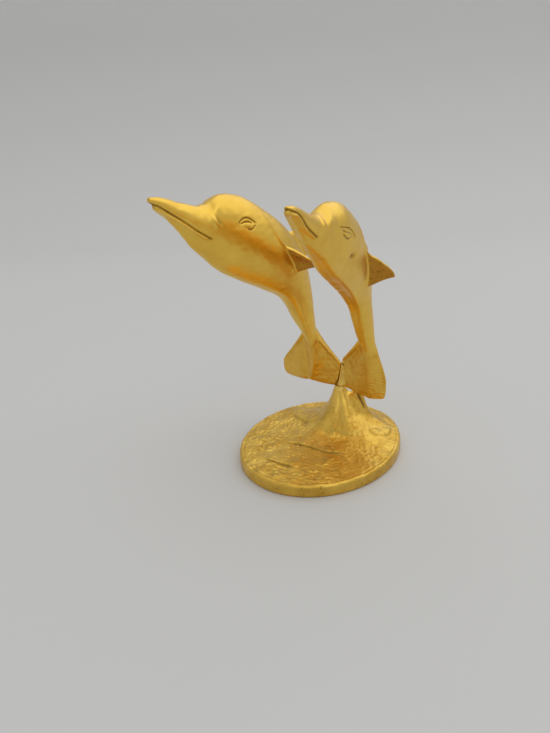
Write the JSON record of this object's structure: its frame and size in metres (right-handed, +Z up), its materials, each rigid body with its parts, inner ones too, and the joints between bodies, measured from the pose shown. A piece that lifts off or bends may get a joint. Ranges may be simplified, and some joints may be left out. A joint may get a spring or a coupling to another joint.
{
  "type": "dolphin pair figurine",
  "caption": "Cast brass figurine of dolphins leaping side by side from a wave crest on a rippled oval base, brazed together at the tails; stands free on its flat underside.",
  "frame": {"origin": "centre of the oval base's underside", "axes": "+Z up, -Y the way the dolphins swim, X across the pair"},
  "size_m": [0.065, 0.0971, 0.11],
  "materials": {
    "cast_brass": "cast, lightly polished, with pits and ripples",
    "polished_brass": "hand polished, satin",
    "braze": "filed"
  },
  "bodies": {
    "root": {"wave_base": "cast_brass", "left_dolphin": "polished_brass", "right_dolphin": "polished_brass", "slit_braze": "braze", "crest_bead": "braze"}
  },
  "joints": []
}
